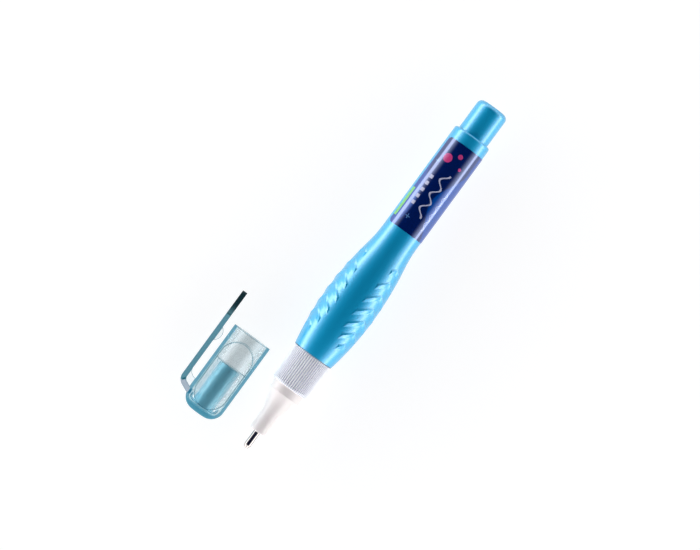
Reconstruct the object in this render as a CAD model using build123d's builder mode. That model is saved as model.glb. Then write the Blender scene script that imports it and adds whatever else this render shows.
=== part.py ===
from build123d import *
import os
from math import asin, degrees, hypot, pi, sin, sqrt

# Correction pen with its cap off: a squeezable barrel with a bulged grip, a white nozzle with a ribbed
# collar, a metal tip with a sprung ball valve, a loose mixing ball, and a clear cap that lies beside the pen.
# All sizes are in millimetres. X runs from the writing tip to the tail and Z points up. The pen and the cap
# lie on the plane Z = 0, and the origin is on that plane, under the middle of the box around both.
# A turn is an angle in degrees about +X, from straight up.

# Gaps between pieces
PRESS_GAP = 0.02    # pieces pressed together
RUN_GAP = 0.05      # pieces that move on each other
CAP_GAP = 0.05      # cap socket around the nozzle's neck or the tail plug
CUT_OVERRUN = 1.0   # how far a cutting shape reaches past what it cuts

# Barrel
BARREL_LENGTH = 84.1
FRONT_RADIUS = 6.85       # at the open front end
PEAK_RADIUS = 8.78        # at the fullest place of the grip, under its ribs
REAR_RADIUS = 6.45        # along the straight rear half
PEAK_FROM_FRONT = 19.4
WAIST_FROM_FRONT = 46.1   # where the straight rear half starts
INFLECTION_SHARE = 0.725  # of the way from the peak to the waist
BARREL_WALL = 0.9
FRONT_WALL = 1.3
FRONT_SOCKET_DEPTH = 8.0
CAVITY_LEAD = 2.0         # length of the slope between the front socket and the cavity
SHOULDER_ROUND = 0.8
FRONT_EDGE_ROUND = 0.3

# Grip chevrons: raised ribs that point to the tail, in three columns
COLUMN_TURNS = (48.5, 173.0, -62.5)
CHEVRON_COUNT = 7
CHEVRON_FIRST = 8.6        # point of the first rib's crest, from the barrel's front end
CHEVRON_PITCH = 4.7
CHEVRON_ARM = 5.4          # longest arm, measured around the barrel
CHEVRON_HEIGHT = 0.21
CHEVRON_RISE = 1.35        # length along the barrel of the slope in front of the crest
CHEVRON_FALL = 0.75        # length along the barrel of the slope behind the crest
CHEVRON_END = 0.6          # length around the barrel of the slope at an arm's end
CHEVRON_ROOT = 0.4         # how far a rib's sunk foot reaches past its slopes
CHEVRON_SLANT_SHARE = 0.74  # how far an arm runs along the barrel for each unit around it
CHEVRON_END_SHARE = 0.85    # of a pitch, between an end rib and the column's pointed end
CHEVRON_LEAF_SHARE = 0.8    # power below 1 that makes the column fuller than a half sine wave

# Tail plug, which the cap also fits
TAIL_SHOWS = 11.2
TAIL_INSERT = 8.0
TAIL_STEP = 0.2        # how much slimmer the shown end is than the end in the barrel
TAIL_WALL = 1.3
TAIL_END_WALL = 2.0
TAIL_ROUND = 1.8

# Label
LABEL_FROM_WAIST = 1.8
LABEL_FROM_SHOULDER = 4.0
LABEL_THICKNESS = 0.1
LABEL_TURN = -63.0     # of its first edge
LABEL_WRAP = 196.0     # degrees around the barrel
LABEL_CORNER = 1.5

# Nozzle: cone, neck and ribbed collar in one
NOZZLE_LENGTH = 16.8   # from its front face to the collar
LAND_LENGTH = 4.7      # nearly straight front part, which the cap's sleeve closes on
LAND_FRONT_RADIUS = 2.7
LAND_REAR_RADIUS = 2.82
LAND_EDGE_ROUND = 0.25
NECK_LENGTH = 2.7      # round seat for the cap, in front of the collar
COLLAR_LENGTH = 12.3
COLLAR_FRONT_RADIUS = 6.3
COLLAR_REAR_RADIUS = 6.55
COLLAR_EDGE_ROUND = 0.5
RIB_COUNT = 54
RIB_DEPTH = 0.2
RIB_MARGIN = 0.4       # plain rim at each end of the ribs
GROOVE_SHARE = 0.7     # of the pitch of the ribs
SPIGOT_LENGTH = 7.0    # pressed into the barrel
SPIGOT_WALL = 1.2
CHAMBER_RADIUS = 1.8   # fluid chamber behind the tip
CHAMBER_LENGTH = 3.5
FUNNEL_LENGTH = 7.0    # between the chamber and the wide rear bore

# Metal tip
TIP_SHOWS = 6.1        # length in front of the nozzle
TIP_SHANK = 8.0        # length held inside the nozzle
TIP_RADIUS = 1.125
TIP_LIP_RADIUS = 0.64
TIP_CONE = 1.0
TIP_BORE_RADIUS = 0.8
TIP_FLANGE_RADIUS = 1.5
TIP_FLANGE = 0.5
SOCKET_RUN = 0.4       # how far the ball can sink behind its place at rest

# Ball valve
BALL_RADIUS = 0.5
BALL_SHOWS = 0.22
ROD_HEAD_RADIUS = 0.38
ROD_HEAD = 0.9
ROD_FLANGE = 0.4
ROD_RADIUS = 0.25
ROD_PAST_RETAINER = 0.5
RETAINER_INSERT = 2.2
RETAINER_FLANGE = 0.6
RETAINER_FLANGE_RADIUS = 1.3
FLUTE_COUNT = 3
FLUTE_RADIUS = 0.14
SPRING_RADIUS = 0.52   # to the middle of the wire
SPRING_WIRE_RADIUS = 0.09
SPRING_WIRE_SIDES = 6  # flats that stand for the round of so thin a wire
SPRING_TURNS = 9

# Mixing ball
MIXER_RADIUS = 2.5
MIXER_GAP = 0.3
MIXER_FROM_SHOULDER = 14.0

# Cap
CAP_LENGTH = 29.05
CAP_WALL = 1.3
CAP_END_WALL = 2.3
CAP_END_ROUND = 4.5
CAVITY_STEP = 0.25     # how much narrower the cap is past its socket
POST_ROOM = 0.2        # spare depth of the socket when the cap is posted on the tail plug
MOUTH_CHAMFER = 0.25
CAP_FROM_TIP = 0.05    # how far the cap's closed end lies behind the pen's tip
CAP_LANE = 18.55       # between the axes of the pen and the cap
PANEL_LENGTH = 23.2
PANEL_WIDTH = 10.6
PANEL_FROM_END = 2.5
PANEL_DEPTH = 0.25

# Clip, moulded on the cap
CLIP_WIDTH = 4.6
CLIP_THICKNESS = 1.55
CLIP_GAP = 2.6         # between the cap and the clip
CLIP_END = 39.0        # from the cap's closed end, like the next four
CLIP_ROOT = 3.9
CLIP_BEND = 5.65
BUMP_MIDDLE = 23.6
GUSSET_FOOT = 8.2
GUSSET_HEAD = 10.4     # also from the cap's closed end
CLIP_BEND_RADIUS = 2.4
CLIP_CORNER = 1.2
BUMP_LENGTH = 4.9
BUMP_HEIGHT = 1.4
BUMP_WIDTH = 1.6
GUSSET_WIDTH = 0.9

# Cap inner sleeve
SLEEVE_RADIUS = 3.7
SLEEVE_GAP = 0.15      # around the nozzle's land
SLEEVE_ROOM = 0.35     # between the sleeve's end and the cap's socket
SLEEVE_CHAMFER = 0.3
SLEEVE_FOOT = 0.1      # flat ring left on the cap's end wall around the sleeve
STUB_LENGTH = 2.0      # on the cap's end wall, inside the sleeve

# Places along the pen, from its very tip
BALL_X = BALL_RADIUS
LIP_X = BALL_SHOWS
NOZZLE_X = LIP_X + TIP_SHOWS
COLLAR_X = NOZZLE_X + NOZZLE_LENGTH
BARREL_X = COLLAR_X + COLLAR_LENGTH
PEAK_X = BARREL_X + PEAK_FROM_FRONT
WAIST_X = BARREL_X + WAIST_FROM_FRONT
SHOULDER_X = BARREL_X + BARREL_LENGTH
PEN_LENGTH = SHOULDER_X + TAIL_SHOWS
ROD_X = BALL_X + BALL_RADIUS + RUN_GAP
ROD_FLANGE_X = ROD_X + ROD_HEAD
STEP_X = NOZZLE_X + TIP_SHANK
TIP_END_X = STEP_X + TIP_FLANGE
RETAINER_X = TIP_END_X - RETAINER_INSERT
ROD_END_X = TIP_END_X + RETAINER_FLANGE + ROD_PAST_RETAINER
SPIGOT_END_X = BARREL_X + SPIGOT_LENGTH
MIXER_X = SHOULDER_X - MIXER_FROM_SHOULDER

# Sizes that follow from the pieces they fit
BORE_RADIUS = REAR_RADIUS - BARREL_WALL
FRONT_BORE_RADIUS = FRONT_RADIUS - FRONT_WALL
LABEL_LENGTH = BARREL_LENGTH - WAIST_FROM_FRONT - LABEL_FROM_WAIST - LABEL_FROM_SHOULDER
INSERT_RADIUS = BORE_RADIUS - PRESS_GAP
TAIL_RADIUS = INSERT_RADIUS - TAIL_STEP
NECK_RADIUS = TAIL_RADIUS
SPIGOT_RADIUS = FRONT_BORE_RADIUS - PRESS_GAP
SOCKET_RADIUS = TAIL_RADIUS + CAP_GAP
SOCKET_DEPTH = TAIL_SHOWS + POST_ROOM
CAP_RADIUS = SOCKET_RADIUS + CAP_WALL
CLIP_INNER = CAP_RADIUS + CLIP_GAP
CLIP_OUTER = CLIP_INNER + CLIP_THICKNESS
CLIP_MIDDLE = CLIP_INNER + CLIP_THICKNESS / 2
WALL_MIDDLE = CAP_RADIUS - CAP_WALL / 2
SLEEVE_BORE_RADIUS = LAND_REAR_RADIUS + SLEEVE_GAP
SLEEVE_END = CAP_LENGTH - SOCKET_DEPTH - SLEEVE_ROOM
CAVITY_RADIUS = SOCKET_RADIUS - CAVITY_STEP
CAVITY_ROUND = CAVITY_RADIUS - SLEEVE_RADIUS - SLEEVE_FOOT
ROD_HOLE_RADIUS = ROD_RADIUS + RUN_GAP
MIXER_DROP = BORE_RADIUS - MIXER_RADIUS - MIXER_GAP

# The pen rests on the ribs at the fullest place of its grip, and the cap on its own side
CREST_RADIUS = PEAK_RADIUS + CHEVRON_HEIGHT
LAYOUT_WIDTH = CREST_RADIUS + CAP_LANE + CLIP_OUTER
PEN_Y = CREST_RADIUS - LAYOUT_WIDTH / 2
PEN = Plane(origin=(-PEN_LENGTH / 2, PEN_Y, CREST_RADIUS))
CAP = Plane(origin=(CAP_FROM_TIP - PEN_LENGTH / 2, PEN_Y + CAP_LANE, CAP_RADIUS))
PEN_AXIS = Axis(PEN.origin, (1, 0, 0))
CAP_AXIS = Axis(CAP.origin, (1, 0, 0))


def across_pen(x):
    """The plane square to the pen at that distance from its tip, facing the tail."""
    return Plane(origin=PEN.origin + Vector(x, 0, 0), x_dir=(0, 1, 0), z_dir=(1, 0, 0))


def grip_arcs(front, peak, waist):
    """Draws the bulge: one arc from the peak to the front end, and two that meet before the waist."""
    inflection = peak + (waist - peak) * INFLECTION_SHARE
    TangentArc(peak, front, tangent=(-1, 0))
    TangentArc(peak, inflection, tangent=(1, 0))
    TangentArc(waist, inflection, tangent=(-1, 0))


def grip_radius(x):
    """The barrel's outer radius at that place: the same arcs as drawn by grip_arcs."""
    run, drop = PEAK_FROM_FRONT, PEAK_RADIUS - FRONT_RADIUS
    if x > PEAK_X:
        run = (WAIST_X - PEAK_X) * INFLECTION_SHARE
        drop = (PEAK_RADIUS - REAR_RADIUS) * INFLECTION_SHARE
    if x > PEAK_X + run:
        run, drop = WAIST_X - PEAK_X - run, PEAK_RADIUS - REAR_RADIUS - drop
        arc = (run**2 + drop**2) / (2 * drop)
        return REAR_RADIUS + arc - sqrt(arc**2 - (WAIST_X - x) ** 2)
    arc = (run**2 + drop**2) / (2 * drop)
    return PEAK_RADIUS - arc + sqrt(arc**2 - (x - PEAK_X) ** 2)


# The barrel's outer form without ribs; its seam is half way between two columns of ribs
with BuildPart() as plain_form:
    seam_turn = (COLUMN_TURNS[0] + COLUMN_TURNS[1]) / 2
    with BuildSketch(Plane(PEN.location * Rotation(seam_turn + 90, 0, 0))):
        with BuildLine():
            grip_arcs(
                Vector(BARREL_X, FRONT_RADIUS), Vector(PEAK_X, PEAK_RADIUS), Vector(WAIST_X, REAR_RADIUS)
            )
            Polyline(
                (WAIST_X, REAR_RADIUS),
                (SHOULDER_X, REAR_RADIUS),
                (SHOULDER_X, 0),
                (BARREL_X, 0),
                (BARREL_X, FRONT_RADIUS),
            )
        make_face()
    revolve(axis=PEN_AXIS)


def on_grip(x, y):
    """The place on the barrel's top at that distance along the pen and beside its axis."""
    return PEN.from_local_coords(Vector(x, y, sqrt(grip_radius(x) ** 2 - y**2)))


def tilted_form(start, end, tilt):
    """The plain form, turned by that many degrees about the line between two places."""
    return plain_form.part.rotate(Axis(start, end - start), tilt)


def chevron_arm(index, side):
    """One arm of one rib: what lies under three copies of the plain form, tilted up from its edges."""
    share = (index + CHEVRON_END_SHARE) / (CHEVRON_COUNT - 1 + 2 * CHEVRON_END_SHARE)
    around = CHEVRON_ARM * sin(pi * share) ** CHEVRON_LEAF_SHARE
    along = around * CHEVRON_SLANT_SHARE
    point = Vector(BARREL_X + CHEVRON_FIRST + index * CHEVRON_PITCH, 0)
    radius = grip_radius(point.X - along)
    reach = radius * sin(around / radius)
    end = point + Vector(-along, side * reach)
    past_end = end + (end - point).normalized() * CHEVRON_ROOT
    front = Vector(-CHEVRON_RISE - CHEVRON_ROOT, 0)
    back = Vector(CHEVRON_FALL + CHEVRON_ROOT, 0)

    slopes = []
    for run in (-CHEVRON_RISE, CHEVRON_FALL):
        slope_width = run * reach / hypot(along, reach)
        tilt = side * degrees(asin(CHEVRON_HEIGHT / slope_width))
        slopes.append(tilted_form(on_grip(point.X + run, 0), on_grip(end.X + run, end.Y), tilt))
    end_front = on_grip(end.X - CHEVRON_RISE, end.Y)
    end_back = on_grip(end.X + CHEVRON_FALL, end.Y)
    slopes.append(tilted_form(end_front, end_back, -side * degrees(asin(CHEVRON_HEIGHT / CHEVRON_END))))

    with BuildPart() as arm:
        with BuildSketch(PEN.offset(PEAK_RADIUS + CUT_OVERRUN)):
            with BuildLine():
                Polyline(point + front, past_end + front, past_end + back, point + back, close=True)
            make_face()
        extrude(amount=CHEVRON_ARM - PEAK_RADIUS - CUT_OVERRUN)
        for slope in slopes:
            add(slope, mode=Mode.INTERSECT)
    return arm.part


chevron_arms = [chevron_arm(index, side) for index in range(CHEVRON_COUNT) for side in (1, -1)]

# Barrel: a blown bottle, open at both ends, with three columns of ribs for the fingers
with BuildPart() as barrel:
    add(plain_form.part)
    ends = barrel.faces().filter_by(GeomType.PLANE).sort_by(Axis.X)
    fillet(ends[-1].edges(), SHOULDER_ROUND)
    fillet(ends[0].edges(), FRONT_EDGE_ROUND)
    add([arm.rotate(PEN_AXIS, turn) for turn in COLUMN_TURNS for arm in chevron_arms])
    socket_end = BARREL_X + FRONT_SOCKET_DEPTH
    cavity_x = socket_end + CAVITY_LEAD
    cavity_start = Vector(cavity_x, grip_radius(cavity_x) - BARREL_WALL)
    with BuildSketch(PEN):
        with BuildLine():
            grip_arcs(cavity_start, Vector(PEAK_X, PEAK_RADIUS - BARREL_WALL), Vector(WAIST_X, BORE_RADIUS))
            Polyline(
                (WAIST_X, BORE_RADIUS),
                (SHOULDER_X + CUT_OVERRUN, BORE_RADIUS),
                (SHOULDER_X + CUT_OVERRUN, 0),
                (BARREL_X - CUT_OVERRUN, 0),
                (BARREL_X - CUT_OVERRUN, FRONT_BORE_RADIUS),
                (socket_end, FRONT_BORE_RADIUS),
                cavity_start,
            )
        make_face()
    revolve(axis=PEN_AXIS, mode=Mode.SUBTRACT)

# Tail plug: a cup pressed into the barrel, whose shown end has the size of the nozzle's neck
with BuildPart() as tail_plug:
    with BuildSketch(across_pen(SHOULDER_X - TAIL_INSERT)):
        Circle(INSERT_RADIUS)
    extrude(amount=TAIL_INSERT)
    with BuildSketch(across_pen(SHOULDER_X)):
        Circle(TAIL_RADIUS)
    extrude(amount=TAIL_SHOWS)
    fillet(tail_plug.faces().sort_by(Axis.X)[-1].edges(), TAIL_ROUND)
    with BuildSketch(across_pen(SHOULDER_X - TAIL_INSERT)):
        Circle(TAIL_RADIUS - TAIL_WALL)
    extrude(amount=TAIL_INSERT + TAIL_SHOWS - TAIL_END_WALL, mode=Mode.SUBTRACT)


def label_corner(x, turn, along, around):
    """What the round takes off one corner of the label; along and around say which way the label lies."""
    plane = Plane(PEN.location * Rotation(turn, 0, 0))
    with BuildPart() as corner:
        with BuildSketch(plane):
            with Locations((x + along * LABEL_CORNER / 2, around * LABEL_CORNER / 2)):
                Rectangle(LABEL_CORNER, LABEL_CORNER)
            with Locations((x + along * LABEL_CORNER, around * LABEL_CORNER)):
                Circle(LABEL_CORNER, mode=Mode.SUBTRACT)
        extrude(amount=REAR_RADIUS + CUT_OVERRUN)
    return corner.part


label_end = SHOULDER_X - LABEL_FROM_SHOULDER
label_corners = [
    label_corner(x, turn, along, around)
    for x, along in ((label_end - LABEL_LENGTH, 1), (label_end, -1))
    for turn, around in ((LABEL_TURN, -1), (LABEL_TURN + LABEL_WRAP, 1))
]

# Label: a film around the straight rear half that leaves a gap at the back
with BuildPart() as label:
    with BuildSketch(Plane(PEN.location * Rotation(LABEL_TURN + 90, 0, 0))):
        with Locations((label_end - LABEL_LENGTH / 2, REAR_RADIUS + PRESS_GAP + LABEL_THICKNESS / 2)):
            Rectangle(LABEL_LENGTH, LABEL_THICKNESS)
    revolve(axis=PEN_AXIS, revolution_arc=LABEL_WRAP)
    add(label_corners, mode=Mode.SUBTRACT)

# One groove between two ribs, following the collar's slight taper
with BuildPart() as rib_groove:
    groove_width = GROOVE_SHARE * 2 * pi * COLLAR_FRONT_RADIUS / RIB_COUNT
    flare = groove_width / 2 * (1 + CUT_OVERRUN / RIB_DEPTH)
    taper = (COLLAR_REAR_RADIUS - COLLAR_FRONT_RADIUS) / COLLAR_LENGTH
    with BuildSketch(across_pen(COLLAR_X + COLLAR_EDGE_ROUND + RIB_MARGIN)):
        with Locations((COLLAR_FRONT_RADIUS, 0)):
            Polygon((-RIB_DEPTH, 0), (CUT_OVERRUN, -flare), (CUT_OVERRUN, flare), align=None)
    extrude(amount=COLLAR_LENGTH - COLLAR_EDGE_ROUND - 2 * RIB_MARGIN, dir=(1, taper, 0))

# Nozzle: flared cone, neck and ribbed collar, hollow for the tip in front and the fluid behind
with BuildPart() as nozzle:
    land_end = Vector(NOZZLE_X + LAND_LENGTH, LAND_REAR_RADIUS)
    neck_start = Vector(COLLAR_X - NECK_LENGTH, NECK_RADIUS)
    with BuildSketch(PEN):
        with BuildLine():
            land = Line((NOZZLE_X, LAND_FRONT_RADIUS), land_end)
            TangentArc(land_end, neck_start, tangent=land % 1)
            Polyline(
                neck_start,
                (COLLAR_X, NECK_RADIUS),
                (COLLAR_X, COLLAR_FRONT_RADIUS),
                (BARREL_X - PRESS_GAP, COLLAR_REAR_RADIUS),
                (BARREL_X - PRESS_GAP, SPIGOT_RADIUS),
                (SPIGOT_END_X, SPIGOT_RADIUS),
                (SPIGOT_END_X, 0),
                (NOZZLE_X, 0),
                (NOZZLE_X, LAND_FRONT_RADIUS),
            )
        make_face()
    revolve(axis=PEN_AXIS)
    front_face = nozzle.faces().sort_by(Axis.X)[0]
    fillet(front_face.edges(), LAND_EDGE_ROUND)
    collar_face = nozzle.faces().filter_by(GeomType.PLANE).sort_by(Axis.X)[1]
    fillet(collar_face.edges().sort_by(SortBy.RADIUS)[-1], COLLAR_EDGE_ROUND)
    rib_turns = [360 * rib / RIB_COUNT for rib in range(RIB_COUNT)]
    add([rib_groove.part.rotate(PEN_AXIS, turn) for turn in rib_turns], mode=Mode.SUBTRACT)
    with BuildSketch(PEN):
        with BuildLine():
            Polyline(
                (NOZZLE_X - CUT_OVERRUN, 0),
                (NOZZLE_X - CUT_OVERRUN, TIP_RADIUS + PRESS_GAP),
                (STEP_X, TIP_RADIUS + PRESS_GAP),
                (STEP_X, CHAMBER_RADIUS),
                (STEP_X + CHAMBER_LENGTH, CHAMBER_RADIUS),
                (STEP_X + CHAMBER_LENGTH + FUNNEL_LENGTH, SPIGOT_RADIUS - SPIGOT_WALL),
                (SPIGOT_END_X + CUT_OVERRUN, SPIGOT_RADIUS - SPIGOT_WALL),
                (SPIGOT_END_X + CUT_OVERRUN, 0),
                close=True,
            )
        make_face()
    revolve(axis=PEN_AXIS, mode=Mode.SUBTRACT)

# Tip housing: a turned tube with a cone, a lip rolled over the ball, and a flange on the nozzle's step
with BuildPart() as tip_housing:
    seat_radius = BALL_RADIUS + RUN_GAP
    seat_mouth = Vector(LIP_X, sqrt(seat_radius**2 - (BALL_X - LIP_X) ** 2))
    seat_side = Vector(BALL_X, seat_radius)
    socket_back = BALL_X + BALL_RADIUS + SOCKET_RUN
    with BuildSketch(PEN):
        with BuildLine():
            TangentArc(seat_side, seat_mouth, tangent=(-1, 0))
            Polyline(
                seat_mouth,
                (LIP_X, TIP_LIP_RADIUS),
                (LIP_X + TIP_CONE, TIP_RADIUS),
                (STEP_X + PRESS_GAP, TIP_RADIUS),
                (STEP_X + PRESS_GAP, TIP_FLANGE_RADIUS),
                (TIP_END_X, TIP_FLANGE_RADIUS),
                (TIP_END_X, TIP_BORE_RADIUS),
                (socket_back, TIP_BORE_RADIUS),
                (socket_back, seat_radius),
                seat_side,
            )
        make_face()
    revolve(axis=PEN_AXIS)

# Tip ball: writes, and closes the lip when nothing presses it
with BuildPart() as tip_ball:
    with Locations(PEN.from_local_coords(Vector(BALL_X, 0, 0))):
        Sphere(BALL_RADIUS)

# Valve rod: a head behind the ball, a flange for the spring, and a stem through the retainer
with BuildPart() as valve_rod:
    rod_flange_end = ROD_FLANGE_X + ROD_FLANGE
    with BuildSketch(PEN):
        with BuildLine():
            Polyline(
                (ROD_X, 0),
                (ROD_X, ROD_HEAD_RADIUS),
                (ROD_FLANGE_X, ROD_HEAD_RADIUS),
                (ROD_FLANGE_X, TIP_BORE_RADIUS - RUN_GAP),
                (rod_flange_end, TIP_BORE_RADIUS - RUN_GAP),
                (rod_flange_end, ROD_RADIUS),
                (ROD_END_X, ROD_RADIUS),
                (ROD_END_X, 0),
                close=True,
            )
        make_face()
    revolve(axis=PEN_AXIS)

# Spring retainer: a bush in the tube's rear end, with flutes that let the fluid past the rod
with BuildPart() as spring_retainer:
    with BuildSketch(across_pen(RETAINER_X)):
        Circle(TIP_BORE_RADIUS - PRESS_GAP)
    extrude(amount=RETAINER_INSERT + PRESS_GAP)
    with BuildSketch(across_pen(TIP_END_X + PRESS_GAP)):
        Circle(RETAINER_FLANGE_RADIUS)
    extrude(amount=RETAINER_FLANGE)
    with BuildSketch(across_pen(RETAINER_X - CUT_OVERRUN)):
        Circle(ROD_HOLE_RADIUS)
        with PolarLocations(ROD_HOLE_RADIUS, FLUTE_COUNT):
            Circle(FLUTE_RADIUS)
    extrude(amount=RETAINER_INSERT + RETAINER_FLANGE + 2 * CUT_OVERRUN, mode=Mode.SUBTRACT)

# Valve spring: one helix of wire between the rod's flange and the retainer
with BuildPart() as valve_spring:
    spring_start = rod_flange_end + SPRING_WIRE_RADIUS + PRESS_GAP
    spring_length = RETAINER_X - PRESS_GAP - SPRING_WIRE_RADIUS - spring_start
    with BuildLine() as coil:
        Helix(
            pitch=spring_length / SPRING_TURNS,
            height=spring_length,
            radius=SPRING_RADIUS,
            center=PEN.origin + Vector(spring_start, 0, 0),
            direction=(1, 0, 0),
        )
    with BuildSketch(Plane(origin=coil.line @ 0, z_dir=coil.line % 0)):
        RegularPolygon(SPRING_WIRE_RADIUS, SPRING_WIRE_SIDES)
    sweep(is_frenet=True)

# Mixing ball: lies loose on the bottom of the barrel's straight bore
with BuildPart() as mixing_ball:
    with Locations(PEN.from_local_coords(Vector(MIXER_X, 0, -MIXER_DROP))):
        Sphere(MIXER_RADIUS)

# The two long panels sunk into the cap's outside, which follow its roundness
with BuildPart() as panels:
    with BuildSketch(CAP):
        with Locations((PANEL_FROM_END + PANEL_LENGTH / 2, 0)):
            SlotOverall(PANEL_LENGTH, PANEL_WIDTH)
    extrude(amount=CAP_RADIUS + CUT_OVERRUN, both=True)
    with BuildSketch(CAP):
        panel_radius = CAP_RADIUS - PANEL_DEPTH
        with BuildLine():
            TangentArc(
                (CAP_END_ROUND, panel_radius), (PANEL_DEPTH, CAP_RADIUS - CAP_END_ROUND), tangent=(-1, 0)
            )
            Polyline(
                (PANEL_DEPTH, CAP_RADIUS - CAP_END_ROUND),
                (PANEL_DEPTH, 0),
                (CAP_LENGTH, 0),
                (CAP_LENGTH, panel_radius),
                (CAP_END_ROUND, panel_radius),
            )
        make_face()
    revolve(axis=CAP_AXIS, mode=Mode.SUBTRACT)

# Cap: a clear shell moulded in one with its clip, the clip's bump and gusset, and a stub for the sleeve
with BuildPart() as cap:
    with BuildSketch(CAP):
        with Locations((CAP_LENGTH / 2, CAP_RADIUS / 2)):
            Rectangle(CAP_LENGTH, CAP_RADIUS)
    revolve(axis=CAP_AXIS)
    fillet(cap.faces().sort_by(Axis.X)[0].edges(), CAP_END_ROUND)
    add(panels.part, mode=Mode.SUBTRACT)
    with BuildSketch(CAP):
        with BuildLine():
            FilletPolyline(
                (CLIP_ROOT, WALL_MIDDLE),
                (CLIP_BEND, CLIP_MIDDLE),
                (CLIP_END, CLIP_MIDDLE),
                radius=CLIP_BEND_RADIUS,
            )
        trace(line_width=CLIP_THICKNESS)
    extrude(amount=CLIP_WIDTH / 2, both=True)
    fillet(cap.faces().sort_by(Axis.X)[-1].edges().filter_by(Axis.Y), CLIP_CORNER)
    bump_start = Vector(BUMP_MIDDLE - BUMP_LENGTH / 2, CLIP_INNER)
    bump_end = Vector(BUMP_MIDDLE + BUMP_LENGTH / 2, CLIP_INNER)
    with BuildSketch(CAP):
        with BuildLine():
            ThreePointArc(bump_start, (BUMP_MIDDLE, CLIP_INNER - BUMP_HEIGHT), bump_end)
            Polyline(bump_end, (bump_end.X, CLIP_MIDDLE), (bump_start.X, CLIP_MIDDLE), bump_start)
        make_face()
    extrude(amount=BUMP_WIDTH / 2, both=True)
    with BuildSketch(CAP):
        with BuildLine():
            TangentArc((GUSSET_FOOT, CAP_RADIUS), (GUSSET_HEAD, CLIP_INNER), tangent=(0, 1))
            Polyline(
                (GUSSET_HEAD, CLIP_INNER),
                (GUSSET_HEAD, CLIP_MIDDLE),
                (CLIP_BEND, CLIP_MIDDLE),
                (CLIP_ROOT, WALL_MIDDLE),
                (GUSSET_FOOT, WALL_MIDDLE),
                (GUSSET_FOOT, CAP_RADIUS),
            )
        make_face()
    extrude(amount=GUSSET_WIDTH / 2, both=True)
    socket_x = CAP_LENGTH - SOCKET_DEPTH
    with BuildSketch(CAP):
        with BuildLine():
            TangentArc(
                (CAP_END_WALL + CAVITY_ROUND, CAVITY_RADIUS),
                (CAP_END_WALL, CAVITY_RADIUS - CAVITY_ROUND),
                tangent=(-1, 0),
            )
            Polyline(
                (CAP_END_WALL, CAVITY_RADIUS - CAVITY_ROUND),
                (CAP_END_WALL, 0),
                (CAP_LENGTH + CUT_OVERRUN, 0),
                (CAP_LENGTH + CUT_OVERRUN, SOCKET_RADIUS + MOUTH_CHAMFER),
                (CAP_LENGTH, SOCKET_RADIUS + MOUTH_CHAMFER),
                (CAP_LENGTH - MOUTH_CHAMFER, SOCKET_RADIUS),
                (socket_x, SOCKET_RADIUS),
                (socket_x, CAVITY_RADIUS),
                (CAP_END_WALL + CAVITY_ROUND, CAVITY_RADIUS),
            )
        make_face()
    revolve(axis=CAP_AXIS, mode=Mode.SUBTRACT)
    with BuildSketch(CAP):
        stub_radius = SLEEVE_BORE_RADIUS - PRESS_GAP
        with Locations((CAP_END_WALL + STUB_LENGTH / 2, stub_radius / 2)):
            Rectangle(STUB_LENGTH, stub_radius)
    revolve(axis=CAP_AXIS)

# Cap inner sleeve: pressed on the cap's stub, and closes over the nozzle's land when the cap is on
with BuildPart() as cap_inner_sleeve:
    with BuildSketch(CAP):
        with BuildLine():
            Polyline(
                (CAP_END_WALL + PRESS_GAP, SLEEVE_BORE_RADIUS),
                (CAP_END_WALL + PRESS_GAP, SLEEVE_RADIUS),
                (SLEEVE_END, SLEEVE_RADIUS),
                (SLEEVE_END, SLEEVE_BORE_RADIUS + SLEEVE_CHAMFER),
                (SLEEVE_END - SLEEVE_CHAMFER, SLEEVE_BORE_RADIUS),
                close=True,
            )
        make_face()
    revolve(axis=CAP_AXIS)

pieces = {
    "barrel": barrel,
    "tail_plug": tail_plug,
    "label": label,
    "nozzle": nozzle,
    "tip_housing": tip_housing,
    "tip_ball": tip_ball,
    "valve_rod": valve_rod,
    "valve_spring": valve_spring,
    "spring_retainer": spring_retainer,
    "mixing_ball": mixing_ball,
    "cap": cap,
    "cap_inner_sleeve": cap_inner_sleeve,
}
os.makedirs("parts", exist_ok=True)
for name, piece in pieces.items():
    piece.part.label = name
    export_step(piece.part, f"parts/{name}.step")
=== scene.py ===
"""Looks of the correction pen: a pearl-blue squeeze barrel with a printed label, a white nozzle with
a metal tip, and a clear cap that lies beside the pen. All lengths are in metres, in the frame of the
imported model, apart from the places on the cap and the label's design, which are in millimetres."""

from math import pi, radians, tau

import bpy
from mathutils import Matrix, Vector


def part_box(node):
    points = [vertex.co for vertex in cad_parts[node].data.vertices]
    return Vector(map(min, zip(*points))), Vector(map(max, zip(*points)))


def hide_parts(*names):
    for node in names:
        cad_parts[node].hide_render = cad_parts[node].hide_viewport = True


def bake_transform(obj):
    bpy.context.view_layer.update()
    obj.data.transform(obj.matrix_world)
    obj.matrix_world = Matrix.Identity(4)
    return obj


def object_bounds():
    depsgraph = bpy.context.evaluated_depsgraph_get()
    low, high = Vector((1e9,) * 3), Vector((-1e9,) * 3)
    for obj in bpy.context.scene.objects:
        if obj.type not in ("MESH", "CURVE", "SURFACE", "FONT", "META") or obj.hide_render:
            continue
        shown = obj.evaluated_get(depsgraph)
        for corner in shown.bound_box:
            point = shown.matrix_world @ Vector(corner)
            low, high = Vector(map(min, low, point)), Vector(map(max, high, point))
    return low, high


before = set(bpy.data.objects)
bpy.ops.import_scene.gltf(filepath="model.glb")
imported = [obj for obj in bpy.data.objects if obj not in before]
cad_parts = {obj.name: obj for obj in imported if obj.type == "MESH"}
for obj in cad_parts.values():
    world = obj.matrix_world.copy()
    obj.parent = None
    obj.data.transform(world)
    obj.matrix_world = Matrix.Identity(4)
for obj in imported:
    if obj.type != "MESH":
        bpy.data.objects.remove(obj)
cad_low, cad_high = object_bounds()

MM = 0.001

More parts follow.
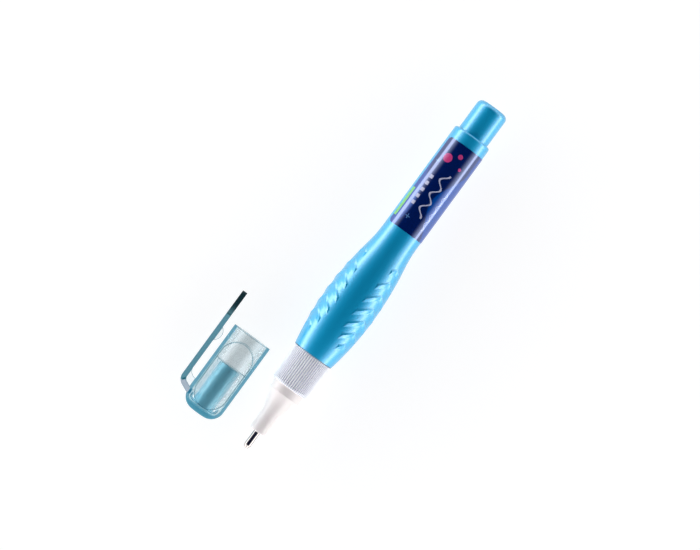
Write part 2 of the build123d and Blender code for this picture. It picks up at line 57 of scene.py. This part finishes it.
# Where the main pieces lie, read from the frame
label_low, label_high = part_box("label")
cap_low, cap_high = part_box("cap")
tail_low, tail_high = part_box("tail_plug")
sleeve_low, sleeve_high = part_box("cap_inner_sleeve")
PEN_Y = (tail_low.y + tail_high.y) / 2
PEN_Z = (tail_low.z + tail_high.z) / 2
CAP_Y = (sleeve_low.y + sleeve_high.y) / 2
CAP_Z = (sleeve_low.z + sleeve_high.z) / 2
BARREL_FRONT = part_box("barrel")[0].x
NOZZLE_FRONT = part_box("nozzle")[0].x
LABEL_START = label_low.x
LABEL_RADIUS = label_high.z - PEN_Z

# Camera: the photograph looks straight down, with the pen's tail to the upper right
VIEW_CENTRE = Vector((-2.86 * MM, PEN_Y + 5.47 * MM))
VIEW_RIGHT = Vector((0.59108, -0.80661, 0))
VIEW_WIDTH = 217 * MM
LENS = 200.0
SENSOR = 36.0
NEAREST = 0.01
FARTHEST = 100

# Lights: one long soft panel on each side of the pen
PANEL_LENGTH = 0.6
PANEL_HEIGHT_CAP_SIDE = 0.12
PANEL_HEIGHT_PEN_SIDE = 0.085
PANEL_DISTANCE = 0.3
PANEL_FOOT = 0.005
PANEL_RADIANCE = 2.2

# Sky: bright only near the horizon, with a faint blue tint all over
SKY_TOP = 0.003
SKY_SIDE = 2.0
SKY_FRONT = 4.0
SKY_REAR = 1.6
SKY_FADE_START = 0.15
SKY_FADE_END = 0.78
SKY_THROUGH_CAP = 0.9
SKY_TINT = (0.0, 0.15, 1.0)
SKY_TINT_STRENGTH = 0.035

# Floor
FLOOR_SIZE = 20.0
FLOOR_GRAIN = 30 * MM
FLOOR_GLOW = 0.82

# Pearl plastic: flakes, flow streaks, a slightly wavy skin, and a painted shade line at the barrel's front
# edge, in the gap to the collar
FLAKE_SIZE = 0.09 * MM
STREAK_SIZE = 3 * MM
STREAK_STRETCH = (0.25, 1, 1)
SKIN_WAVE = 0.4 * MM
SKIN_DEPTH = 0.002 * MM
PEARL_EDGE = 0.5 * MM
FRONT_SHADE_HALF = 0.35 * MM
FRONT_SHADE_SOFT = 0.3 * MM

# White plastic: where the ribbed collar follows the smooth cone, and the tone, wax and grain of both
CONE_LENGTH = 16.8 * MM
COLLAR_START = NOZZLE_FRONT + CONE_LENGTH
COLLAR_SOFT = 0.6 * MM
RIB_COUNT = 54
WHITE_TONE = 2.5 * MM
WHITE_WAX = 0.5 * MM
WHITE_GRAIN = 0.25 * MM
WHITE_DEPTH = 0.003 * MM
WHITE_EDGE = 0.08 * MM
WHITE_GLOW_DEPTH = 1.2 * MM

# Marks on the metal, and the grain of the bush
MARK_SIZE = 0.06 * MM
MARK_DEPTH = 0.0015 * MM
MARK_SHADE = 0.82
MARK_ROUGHNESS = 0.1
METAL_EDGE = 0.05 * MM
BUSH_GRAIN = 0.3 * MM

# How many rays soften an edge, on most pieces and on the cap's moulded edges
BEVEL_SAMPLES = 6
EDGE_SAMPLES = 8

# Clear cap: its haze, its walls, its rims and edges, and its rounded closed end
HAZE_SIZE = 1.5 * MM
WALL_WAVE = 4 * MM
WALL_DEPTH = 0.01 * MM
WALL_EDGE = 0.2 * MM
OUTER_RADIUS = 6.1 * MM
OUTER_SOFT = 0.2 * MM
# Painted shadow: the middle of the cap is greyed, standing in for the cap's own shadow on the floor seen
# through it
MIDDLE_SHADOW_HALF = 2.3 * MM
MIDDLE_SHADOW_SOFT = 2.4 * MM
RIM_FACING = 0.46
RIM_SOFT = 0.12
EDGE_RADIUS = 0.36 * MM
EDGE_LIKENESS = 0.95
EDGE_SOFT = 0.06
END_LIMIT = cap_low.x + 1.9 * MM
END_SOFT = 0.9 * MM
ROUND_LIMIT = cap_low.x + 4.3 * MM
ROUND_SOFT = 0.6 * MM
STRAIGHT_CLEAR = 0.72
STRAIGHT_DEEP = 0.92
ABSORPTION = 60.0


def on_cap(along, down):
    """A place on the cap, in millimetres from its closed end and from the clip's outer face."""
    return Vector((cap_low.x + along * MM, cap_high.y - down * MM))


# The cap's clip: a slanted strap, a bend and a bar, with painted shade at the strap's root, in the bend and
# on the bar's far end
ZONE_SOFT = 0.2 * MM
CLIP_THICKNESS = 1.6 * MM
CLIP_INNER = cap_high.y - CLIP_THICKNESS
CLIP_SOFT = 0.1 * MM
STRAP_FOOT = on_cap(along=3.9, down=4.8)
STRAP_HEAD = on_cap(along=5.65, down=0.775)
STRAP_HALF = 0.8 * MM
STRAP_START = STRAP_FOOT.y + 0.1 * MM
ROOT = on_cap(along=4.1, down=5.15)
ROOT_HALF_LENGTH = 0.8 * MM
ROOT_HALF_WIDTH = 0.4 * MM
ROOT_SOFT = 0.4 * MM
BEND = on_cap(along=6.1, down=1.3)
BEND_ACROSS = Vector((0.66, 0.75))
BEND_ALONG = Vector((BEND_ACROSS.y, -BEND_ACROSS.x))
BEND_HALF_WIDTH = 0.3 * MM
BEND_HALF_LENGTH = 0.6 * MM
# Painted shade on the clip's far end: where it starts, its first line, and how it deepens
DARK_START = cap_low.x + 30.2 * MM
DARK_START_SOFT = 0.4 * MM
DARK_LINE = DARK_START + 0.3 * MM
DARK_LINE_HALF = 0.2 * MM
DARK_MIDDLE = DARK_START + 2 * MM
DARK_MIDDLE_SOFT = 5 * MM

# Label: the film's grain, then values of its printed design, drawn in millimetres
FILM_GRAIN = 0.15 * MM
FILM_DEPTH = 0.002 * MM
PRINT_SOFT = 0.06
SWEEP_SOFT = 0.8
SWEEP_SHARE = 0.9
BORDER_START = 6.8
DASH_PITCH = 2.4
DASH_SOFT = 0.3
CROSS_REACH = 0.8
CROSS_HALF = 0.15

# Colours of the plastics and metals
PEARL_LIGHT = (0.0, 0.46, 0.8)
PEARL_DARK = (0.0, 0.41, 0.74)
# Painted shade: colour of the dark line in the gap at the barrel's front edge
PEARL_FRONT_SHADE = (0.0, 0.13, 0.25)
SLEEVE_LIGHT = (0.17, 0.5, 0.62)
SLEEVE_DARK = (0.13, 0.43, 0.54)
CONE_LIGHT = (0.97, 0.9, 0.88)
CONE_DARK = (0.93, 0.855, 0.825)
COLLAR_LIGHT = (0.98, 0.99, 1.0)
COLLAR_DARK = (0.96, 0.97, 0.98)
# Painted shade: colour of the collar's grooves between its ribs
COLLAR_GROOVE_SHADE = (0.58, 0.6, 0.76)
TIP_METAL = (0.63, 0.58, 0.55)
BALL_STEEL = (0.75, 0.75, 0.77)
ROD_STEEL = (0.6, 0.6, 0.62)
BUSH_LIGHT = (0.76, 0.76, 0.72)
BUSH_DARK = (0.68, 0.68, 0.63)

# Tints of the cap, from its clear walls to the dark end of its clip; the middle, root, bend and far clip
# tints are painted shadow and shade
WALL_LIGHT = (0.98, 0.98, 0.985)
WALL_DARK = (0.95, 0.96, 0.965)
MIDDLE_SHADOW_TINT = (0.86, 0.87, 0.875)
RIM_TINT = (0.42, 0.63, 0.71)
EDGE_TINT = (0.4, 0.56, 0.61)
END_TINT = (0.34, 0.61, 0.7)
STRAP_TINT = (0.7, 0.71, 0.76)
ROOT_SHADE_TINT = (0.12, 0.4, 0.52)
BAR_TINT = (0.36, 0.54, 0.6)
BEND_SHADE_TINT = (0.14, 0.36, 0.42)
FAR_CLIP_SHADE_FIRST = (0.34, 0.49, 0.53)
FAR_CLIP_SHADE_LAST = (0.1, 0.17, 0.19)
FAR_CLIP_SHADE_LINE = (0.2, 0.33, 0.36)
SHADOW_TINT = (0.86, 0.95, 0.97, 1)
ABSORBED_TINT = (0.18, 0.64, 0.75, 1)

# Colours of the label and the floor
NAVY_LIGHT = (0.0, 0.013, 0.12)
NAVY_DARK = (0.0, 0.009, 0.09)
LOWER_BLUE = (0.0, 0.08, 0.42)
UPPER_BLUE = (0.0, 0.06, 0.36)
PRINT_WHITE = (0.62, 0.62, 0.78)
PRINT_LILAC = (0.4, 0.44, 0.7)
PRINT_CROSS = (0.1, 0.24, 0.5)
PRINT_LIME = (0.21, 0.68, 0.1)
PRINT_PINK = (0.72, 0.06, 0.24)
PAPER_LIGHT = (0.86, 0.86, 0.86)
PAPER_DARK = (0.84, 0.84, 0.84)
PAPER_SHOWN = (0.3, 0.3, 0.3)


class Number:
    """A number in a material: a socket or a constant, with the usual arithmetic done by math nodes."""

    def __init__(self, tree, value):
        self.tree = tree
        self.value = value

    def apply(self, operation, *others):
        node = self.tree.nodes.new("ShaderNodeMath")
        node.operation = operation
        for socket, number in zip(node.inputs, (self, *others)):
            value = number.value if isinstance(number, Number) else number
            if isinstance(value, bpy.types.NodeSocket):
                self.tree.links.new(value, socket)
            else:
                socket.default_value = value
        return Number(self.tree, node.outputs[0])

    def __add__(self, other):
        return self.apply("ADD", other)

    def __sub__(self, other):
        return self.apply("SUBTRACT", other)

    def __mul__(self, other):
        return self.apply("MULTIPLY", other)

    def __truediv__(self, other):
        return self.apply("DIVIDE", other)

    def __neg__(self):
        return self.apply("MULTIPLY", -1.0)

    def __abs__(self):
        return self.apply("ABSOLUTE")

    def at_least(self, other):
        return self.apply("MAXIMUM", other)

    def sine(self):
        return self.apply("SINE")

    def cosine(self):
        return self.apply("COSINE")

    def inside(self, soft):
        """1 where this signed distance is below zero and 0 where it is above, with a step that wide."""
        node = self.tree.nodes.new("ShaderNodeMapRange")
        node.interpolation_type = "SMOOTHSTEP"
        self.tree.links.new(self.value, node.inputs["Value"])
        node.inputs["From Min"].default_value = soft / 2
        node.inputs["From Max"].default_value = -soft / 2
        return Number(self.tree, node.outputs["Result"])

    def outside(self, soft):
        """1 where this signed distance is above zero and 0 where it is below, with a step that wide."""
        return (-self).inside(soft)


def distance(across, up):
    """Length of the slanted line with these two sides."""
    return (across.apply("POWER", 2.0) + up.apply("POWER", 2.0)).apply("SQRT")


def measured(x, y, place, direction):
    """How far a point lies from a place, measured in one direction."""
    return (x - place.x) * direction.x + (y - place.y) * direction.y


def inside_box(across, up, half_width, half_height, soft):
    """1 within a box around the point where both distances are zero, and 0 beyond it."""
    return (abs(across) - half_width).at_least(abs(up) - half_height).inside(soft)


def angle_around_pen(y, z):
    """Angle around the pen's axis, from straight up."""
    return (-(y - PEN_Y)).apply("ARCTAN2", z - PEN_Z)


class Paint:
    """A material with one Principled shader, and short ways to add what feeds it."""

    def __init__(self, name):
        self.material = bpy.data.materials.new(name)
        self.material.use_nodes = True
        self.tree = self.material.node_tree
        self.shader = self.tree.nodes["Principled BSDF"]
        self.output = self.tree.nodes["Material Output"]
        self.place = self.node("ShaderNodeTexCoord").outputs["Object"]

    def node(self, kind, **settings):
        made = self.tree.nodes.new(kind)
        for key, value in settings.items():
            setattr(made, key, value)
        return made

    def number(self, socket):
        return Number(self.tree, socket)

    def link(self, value, socket):
        self.tree.links.new(value.value if isinstance(value, Number) else value, socket)

    def set(self, **values):
        """Sets the shader's own sockets; a name's underscores stand for spaces."""
        for name, value in values.items():
            self.shader.inputs[name.replace("_", " ")].default_value = value

    def base(self, colour):
        self.link(colour, self.shader.inputs["Base Color"])

    def roughness(self, share, low, high):
        self.link(share * (high - low) + low, self.shader.inputs["Roughness"])

    def xyz(self):
        parts = self.node("ShaderNodeSeparateXYZ")
        self.link(self.place, parts.inputs[0])
        return [self.number(socket) for socket in parts.outputs]

    def noise(self, size, detail=2.0, stretch=(1, 1, 1)):
        """Noise between 0 and 1 whose spots are about that size across."""
        mapping = self.node("ShaderNodeMapping")
        mapping.inputs["Scale"].default_value = stretch
        self.link(self.place, mapping.inputs["Vector"])
        noise = self.node("ShaderNodeTexNoise")
        noise.inputs["Scale"].default_value = 1 / size
        noise.inputs["Detail"].default_value = detail
        self.link(mapping.outputs[0], noise.inputs["Vector"])
        return self.number(noise.outputs["Fac"])

    def colour(self, share, low, high):
        """Goes from one colour to another; each is a colour or the outcome of another blend."""
        mix = self.node("ShaderNodeMix", data_type="RGBA")
        self.link(share, mix.inputs[0])
        for socket, value in ((mix.inputs[6], low), (mix.inputs[7], high)):
            if isinstance(value, bpy.types.NodeSocket):
                self.link(value, socket)
            else:
                socket.default_value = (*value, 1)
        return mix.outputs[2]

    def mixed_shader(self, share, first, second):
        mix = self.node("ShaderNodeMixShader")
        self.link(share, mix.inputs[0])
        self.link(first, mix.inputs[1])
        self.link(second, mix.inputs[2])
        return mix.outputs[0]

    def relief(self, height, depth, edge=0.0):
        """Bumps of that depth, on edges that are softened by that radius."""
        bump = self.node("ShaderNodeBump")
        bump.inputs["Distance"].default_value = depth
        self.link(height, bump.inputs["Height"])
        if edge:
            bevel = self.node("ShaderNodeBevel", samples=BEVEL_SAMPLES)
            bevel.inputs["Radius"].default_value = edge
            self.link(bevel.outputs[0], bump.inputs["Normal"])
        self.link(bump.outputs[0], self.shader.inputs["Normal"])


def pearl_plastic(name, light, dark, flake_share):
    """Glossy plastic full of fine pearl flakes, with faint flow streaks along the pen."""
    paint = Paint(name)
    flakes = paint.noise(FLAKE_SIZE, detail=1.0)
    streaks = paint.noise(STREAK_SIZE, detail=3.0, stretch=STREAK_STRETCH)
    x = paint.xyz()[0]
    body = paint.colour((flakes + streaks) / 2, dark, light)
    # Painted shade: a dark band along the barrel's front edge, standing in for the shadow in the gap to the
    # collar
    front_shade = (abs(x - BARREL_FRONT) - FRONT_SHADE_HALF).inside(FRONT_SHADE_SOFT)
    paint.base(paint.colour(front_shade, body, PEARL_FRONT_SHADE))
    paint.roughness(flakes, low=0.46, high=0.58)
    paint.relief(paint.noise(SKIN_WAVE), SKIN_DEPTH, edge=PEARL_EDGE)
    paint.set(Metallic=flake_share, Specular_IOR_Level=0.0)
    paint.set(Coat_Weight=1.0, Coat_Roughness=0.26, Coat_IOR=2.1)
    return paint.material


def white_plastic():
    """Moulded polypropylene: slightly waxy, with a faint grain and painted shade in the grooves of the
    collar.
    """
    paint = Paint("white_plastic")
    x, y, z = paint.xyz()
    tone = paint.noise(WHITE_TONE, detail=4.0)
    cone = paint.colour(tone, CONE_DARK, CONE_LIGHT)
    collar = paint.colour(tone, COLLAR_DARK, COLLAR_LIGHT)
    ribs = (angle_around_pen(y, z) * RIB_COUNT).cosine()
    # Painted shade: the grooves between the collar's ribs are darkened all round
    groove_shade = (-ribs + 1.0) / 2
    collar = paint.colour(groove_shade * groove_shade, collar, COLLAR_GROOVE_SHADE)
    paint.base(paint.colour((x - COLLAR_START).outside(COLLAR_SOFT), cone, collar))
    paint.roughness(paint.noise(WHITE_WAX), low=0.24, high=0.36)
    paint.relief(paint.noise(WHITE_GRAIN), WHITE_DEPTH, edge=WHITE_EDGE)
    paint.set(Subsurface_Weight=0.25, Subsurface_Radius=(0.9, 0.8, 0.9))
    paint.set(Subsurface_Scale=WHITE_GLOW_DEPTH)
    return paint.material


def metal(name, tint, roughness, stretch=(1, 1, 1)):
    """Metal with fine marks: around a turned piece, along a drawn one, and even on a polished ball."""
    paint = Paint(name)
    marks = paint.noise(MARK_SIZE, stretch=stretch)
    shade = tuple(MARK_SHADE * part for part in tint)
    paint.base(paint.colour(marks, shade, tint))
    paint.roughness(marks, low=roughness, high=roughness + MARK_ROUGHNESS)
    paint.relief(marks, MARK_DEPTH, edge=METAL_EDGE)
    paint.set(Metallic=1.0)
    return paint.material


def bush_plastic():
    """Pale acetal of the small bush that holds the spring."""
    paint = Paint("bush_plastic")
    tone = paint.noise(BUSH_GRAIN)
    paint.base(paint.colour(tone, BUSH_DARK, BUSH_LIGHT))
    paint.roughness(tone, low=0.4, high=0.5)
    return paint.material


def cap_rims(paint, x, y, z):
    """Where the cap's outer wall turns away from the eye, and where its moulded edges are."""
    slant = paint.node("ShaderNodeLayerWeight")
    slant.inputs["Blend"].default_value = 0.5
    facing = paint.number(slant.outputs["Facing"])
    off_axis = distance(y - CAP_Y, z - CAP_Z)
    outer = (off_axis - OUTER_RADIUS).outside(OUTER_SOFT).at_least((x - ROUND_LIMIT).inside(ROUND_SOFT))
    rim = (facing - RIM_FACING).outside(RIM_SOFT) * outer

    rounded = paint.node("ShaderNodeBevel", samples=EDGE_SAMPLES)
    rounded.inputs["Radius"].default_value = EDGE_RADIUS
    flat = paint.node("ShaderNodeNewGeometry")
    product = paint.node("ShaderNodeVectorMath", operation="DOT_PRODUCT")
    paint.link(rounded.outputs[0], product.inputs[0])
    paint.link(flat.outputs["Normal"], product.inputs[1])
    likeness = paint.number(product.outputs["Value"])
    return rim, (likeness - EDGE_LIKENESS).inside(EDGE_SOFT)


def cap_tint(paint, haze):
    """Colour of the cap from zone to zone, with a painted shadow down its middle and painted shade at the
    strap's root, in the bend and on the clip's far end, and where it is deep: its rims, edges, end and
    strap root.
    """
    x, y, z = paint.xyz()
    rim, edge = cap_rims(paint, x, y, z)
    # Painted shadow down the middle of the cap, where the floor below it lies in shadow
    middle = (abs(y - CAP_Y) - MIDDLE_SHADOW_HALF).inside(MIDDLE_SHADOW_SOFT)
    end = (x - END_LIMIT).inside(END_SOFT)
    over_bend = measured(x, y, BEND, BEND_ACROSS)
    along_bend = measured(x, y, BEND, BEND_ALONG)
    # Painted shade: a dark tick in the bend of the clip
    bend_shade = inside_box(over_bend, along_bend, BEND_HALF_WIDTH, BEND_HALF_LENGTH, ZONE_SOFT)
    clip = (y - CLIP_INNER).outside(CLIP_SOFT)
    bar = clip * over_bend.outside(ZONE_SOFT)
    off_strap = measured(x, y, STRAP_FOOT, (STRAP_HEAD - STRAP_FOOT).orthogonal().normalized())
    strap = (abs(off_strap) - STRAP_HALF).inside(ZONE_SOFT) * (y - STRAP_START).outside(ZONE_SOFT)
    # Painted shade: a dark patch where the strap's root joins the cap's wall
    root_shade = inside_box(x - ROOT.x, y - ROOT.y, ROOT_HALF_LENGTH, ROOT_HALF_WIDTH, ROOT_SOFT)
    # Painted shade: the clip darkens from a set point towards its far end, with a darker line where it
    # starts
    dark = (x - DARK_START).outside(DARK_START_SOFT)
    clip_shade_line = (abs(x - DARK_LINE) - DARK_LINE_HALF).inside(ZONE_SOFT)
    deeper_clip_shade = (x - DARK_MIDDLE).outside(DARK_MIDDLE_SOFT)

    tint = paint.colour(haze, WALL_DARK, WALL_LIGHT)
    for share, colour in (
        (middle, MIDDLE_SHADOW_TINT),
        (rim, RIM_TINT),
        (edge, EDGE_TINT),
        (end, END_TINT),
        (strap.at_least(clip), STRAP_TINT),
        (root_shade, ROOT_SHADE_TINT),
        (bar, BAR_TINT),
        (bend_shade, BEND_SHADE_TINT),
        (dark, paint.colour(deeper_clip_shade, FAR_CLIP_SHADE_FIRST, FAR_CLIP_SHADE_LAST)),
        (clip_shade_line, FAR_CLIP_SHADE_LINE),
    ):
        tint = paint.colour(share, tint, colour)
    return tint, rim.at_least(end).at_least(edge).at_least(root_shade)


def clear_plastic():
    """Clear teal-tinted polystyrene: its walls bend the light a little, and its rims look deep teal."""
    paint = Paint("clear_plastic")
    haze = paint.noise(HAZE_SIZE, detail=3.0)
    tint, deep = cap_tint(paint, haze)
    squared = paint.node("ShaderNodeVectorMath", operation="MULTIPLY")
    paint.link(tint, squared.inputs[0])
    paint.link(tint, squared.inputs[1])
    paint.base(squared.outputs[0])
    paint.roughness(haze, low=0.005, high=0.035)
    paint.relief(paint.noise(WALL_WAVE), WALL_DEPTH, edge=WALL_EDGE)
    paint.set(Transmission_Weight=1.0, IOR=1.33)

    straight = paint.node("ShaderNodeBsdfTransparent")
    paint.link(tint, straight.inputs["Color"])
    straight_share = deep * (STRAIGHT_DEEP - STRAIGHT_CLEAR) + STRAIGHT_CLEAR
    seen = paint.mixed_shader(straight_share, paint.shader.outputs[0], straight.outputs[0])
    lit = paint.node("ShaderNodeBsdfTransparent")
    lit.inputs["Color"].default_value = SHADOW_TINT
    rays = paint.node("ShaderNodeLightPath")
    surface = paint.mixed_shader(rays.outputs["Is Shadow Ray"], seen, lit.outputs[0])
    paint.link(surface, paint.output.inputs["Surface"])
    absorb = paint.node("ShaderNodeVolumeAbsorption")
    absorb.inputs["Color"].default_value = ABSORBED_TINT
    absorb.inputs["Density"].default_value = ABSORPTION
    paint.link(absorb.outputs[0], paint.output.inputs["Volume"])
    return paint.material


def label_film():
    """Printed film with a design of its own: navy with blue sweeps and borders, pale waves and dashes,
    small crosses, a lime stripe and pink dots."""
    paint = Paint("label_film")
    x, y, z = paint.xyz()
    along = (x - LABEL_START) / MM
    around = angle_around_pen(y, z) * (LABEL_RADIUS / MM)

    def disc(centre, middle, radius):
        return (distance(along - centre, around - middle) - radius).inside(PRINT_SOFT)

    def bar(start, end, low, high):
        sideways = along - (start + end) / 2
        upright = around - (low + high) / 2
        return inside_box(sideways, upright, (end - start) / 2, (high - low) / 2, PRINT_SOFT)

    def cross(centre, middle):
        sideways = along - centre
        upright = around - middle
        level = inside_box(sideways, upright, CROSS_REACH, CROSS_HALF, PRINT_SOFT)
        return level.at_least(inside_box(sideways, upright, CROSS_HALF, CROSS_REACH, PRINT_SOFT))

    def curve(middle, swing, rate, phase):
        return (along * rate + phase).sine() * swing + middle

    def wave(middle, swing, length, phase, width):
        line = curve(middle, swing, tau / length, phase)
        return (abs(around - line) - width / 2).inside(PRINT_SOFT)

    lower_line = curve(middle=4.6, swing=3.2, rate=0.2, phase=2.2)
    upper_line = curve(middle=-5.0, swing=2.2, rate=0.16, phase=0.4)
    lower_sweep = (around - lower_line).outside(SWEEP_SOFT)
    upper_sweep = (around - upper_line).inside(SWEEP_SOFT)
    borders = (abs(around) - BORDER_START).outside(SWEEP_SOFT)
    white_wave = wave(middle=0.6, swing=1.1, length=5.2, phase=0.3, width=0.6)
    white_wave = white_wave * bar(start=6.0, end=22.0, low=-3.0, high=4.0)
    thin_wave = wave(middle=4.4, swing=0.5, length=3.1, phase=0.0, width=0.25)
    thin_wave = thin_wave * bar(start=3.0, end=17.0, low=3.0, high=6.0)
    dashes = (along * (tau / DASH_PITCH)).sine().inside(DASH_SOFT)
    dashes = dashes * bar(start=8.2, end=20.0, low=-3.9, high=-2.7)
    crosses = cross(centre=4.4, middle=-2.0).at_least(cross(centre=23.7, middle=-5.0))
    stripe = bar(start=2.6, end=13.0, low=-7.4, high=-5.9)
    dots = disc(centre=26.2, middle=-2.6, radius=1.5)
    dots = dots.at_least(disc(centre=28.6, middle=0.6, radius=0.8))
    dots = dots.at_least(disc(centre=25.2, middle=2.8, radius=0.55))

    grain = paint.noise(FILM_GRAIN)
    ground = paint.colour(grain, NAVY_DARK, NAVY_LIGHT)
    for share, colour in (
        (lower_sweep * SWEEP_SHARE, LOWER_BLUE),
        (upper_sweep.at_least(borders) * SWEEP_SHARE, UPPER_BLUE),
        (white_wave.at_least(dashes), PRINT_WHITE),
        (crosses, PRINT_CROSS),
        (thin_wave, PRINT_LILAC),
        (stripe, PRINT_LIME),
        (dots, PRINT_PINK),
    ):
        ground = paint.colour(share, ground, colour)
    paint.base(ground)
    paint.roughness(grain, low=0.07, high=0.13)
    paint.relief(grain, FILM_DEPTH)
    paint.set(Specular_IOR_Level=1.0, IOR=1.95, Specular_Tint=(0.6, 0.69, 1.0, 1.0))
    return paint.material


def pale_floor():
    """White paper: it takes shadows, and shows as a white background to the camera, in gloss and
    through the cap."""
    paint = Paint("pale_floor")
    rays = paint.node("ShaderNodeLightPath")
    names = ("Is Camera Ray", "Is Glossy Ray", "Is Transmission Ray")
    seen, gloss, through = (paint.number(rays.outputs[name]) for name in names)
    shown = seen.at_least(gloss).at_least(through)
    paper = paint.colour(paint.noise(FLOOR_GRAIN), PAPER_DARK, PAPER_LIGHT)
    paint.base(paint.colour(shown, paper, PAPER_SHOWN))
    paint.link(shown * FLOOR_GLOW, paint.shader.inputs["Emission Strength"])
    paint.set(Roughness=1.0, Specular_IOR_Level=0.0, Emission_Color=(1, 1, 1, 1))
    return paint.material


def dress(node, material):
    """Gives a carried-over CAD node its material."""
    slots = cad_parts[node].data.materials
    slots.clear()
    slots.append(material)


def pressed_spring(material):
    """A copy of the spring's mesh with this material, shown in place of the hidden CAD spring."""
    spring = bpy.data.objects.new("pressed_spring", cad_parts["valve_spring"].data.copy())
    bpy.context.collection.objects.link(spring)
    spring.data.materials.clear()
    spring.data.materials.append(material)
    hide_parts("valve_spring")
    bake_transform(spring)


def side_panel(name, side, height):
    """A long soft light beside the pen; side is 1 on the cap's side and -1 on the other."""
    data = bpy.data.lights.new(name, "AREA")
    data.shape = "RECTANGLE"
    data.size = PANEL_LENGTH
    data.size_y = height
    data.energy = PANEL_RADIANCE * pi * PANEL_LENGTH * height
    panel = bpy.data.objects.new(name, data)
    bpy.context.collection.objects.link(panel)
    panel.location = (0, PEN_Y + side * PANEL_DISTANCE, PANEL_FOOT + height / 2)
    panel.rotation_euler = (radians(-side * 90), 0, 0)


def make_floor():
    mesh = bpy.data.meshes.new("floor")
    half = FLOOR_SIZE / 2
    corners = [(-half, -half, 0), (half, -half, 0), (half, half, 0), (-half, half, 0)]
    mesh.from_pydata(corners, [], [(0, 1, 2, 3)])
    mesh.materials.append(pale_floor())
    floor = bpy.data.objects.new("floor", mesh)
    bpy.context.collection.objects.link(floor)
    floor.location.z = cad_low.z


def make_sky():
    """Bright near the horizon and dark overhead, as in a studio with side light only, with a faint blue
    tint all over."""
    world = bpy.data.worlds.new("studio")
    bpy.context.scene.world = world
    world.use_nodes = True
    tree = world.node_tree
    coordinates = tree.nodes.new("ShaderNodeTexCoord")
    parts = tree.nodes.new("ShaderNodeSeparateXYZ")
    fade = tree.nodes.new("ShaderNodeMapRange")
    fade.interpolation_type = "SMOOTHSTEP"
    fade.inputs["From Min"].default_value = SKY_FADE_START
    fade.inputs["From Max"].default_value = SKY_FADE_END
    fade.inputs["To Min"].default_value = 1.0
    fade.inputs["To Max"].default_value = 0.0
    tree.links.new(coordinates.outputs["Generated"], parts.inputs[0])
    tree.links.new(parts.outputs["Z"], fade.inputs["Value"])
    x = Number(tree, parts.outputs["X"])
    rays = tree.nodes.new("ShaderNodeLightPath")
    through = Number(tree, rays.outputs["Is Transmission Ray"])
    ends = x * x * ((SKY_FRONT + SKY_REAR) / 2 - SKY_SIDE) - x * abs(x) * ((SKY_FRONT - SKY_REAR) / 2)
    light = Number(tree, fade.outputs["Result"]) * (ends + SKY_SIDE) + SKY_TOP
    background = tree.nodes["Background"]
    background.inputs["Color"].default_value = (1, 1, 1, 1)
    tree.links.new(light.at_least(through * SKY_THROUGH_CAP).value, background.inputs["Strength"])
    tinted = tree.nodes.new("ShaderNodeBackground")
    tinted.inputs["Color"].default_value = (*SKY_TINT, 1)
    tinted.inputs["Strength"].default_value = SKY_TINT_STRENGTH
    both = tree.nodes.new("ShaderNodeAddShader")
    tree.links.new(background.outputs[0], both.inputs[0])
    tree.links.new(tinted.outputs[0], both.inputs[1])
    tree.links.new(both.outputs[0], tree.nodes["World Output"].inputs["Surface"])


def make_camera():
    data = bpy.data.cameras.new("camera")
    data.lens = LENS
    data.sensor_width = SENSOR
    data.clip_start = NEAREST
    data.clip_end = FARTHEST
    camera = bpy.data.objects.new("camera", data)
    bpy.context.collection.objects.link(camera)
    up = Vector((0, 0, 1)).cross(VIEW_RIGHT)
    height = PEN_Z + VIEW_WIDTH * LENS / SENSOR
    turn = Matrix((VIEW_RIGHT, up, (0, 0, 1))).transposed().to_4x4()
    camera.matrix_world = Matrix.Translation((*VIEW_CENTRE, height)) @ turn
    bpy.context.scene.camera = camera


pearl = pearl_plastic("pearl_plastic", PEARL_LIGHT, PEARL_DARK, flake_share=0.5)
dress("barrel", pearl)
dress("tail_plug", pearl)
dress("label", label_film())
dress("nozzle", white_plastic())
dress("tip_housing", metal("tip_metal", TIP_METAL, roughness=0.14, stretch=(6, 1, 1)))
steel = metal("ball_steel", BALL_STEEL, roughness=0.06)
dress("tip_ball", steel)
dress("mixing_ball", steel)
rod = metal("rod_steel", ROD_STEEL, roughness=0.2, stretch=(1, 4, 4))
dress("valve_rod", rod)
pressed_spring(rod)
dress("spring_retainer", bush_plastic())
dress("cap", clear_plastic())
dress("cap_inner_sleeve", pearl_plastic("sleeve_plastic", SLEEVE_LIGHT, SLEEVE_DARK, flake_share=0.6))

make_camera()
side_panel("panel_cap_side", 1, PANEL_HEIGHT_CAP_SIDE)
side_panel("panel_pen_side", -1, PANEL_HEIGHT_PEN_SIDE)
make_sky()
make_floor()
bpy.context.scene.view_settings.view_transform = "Standard"
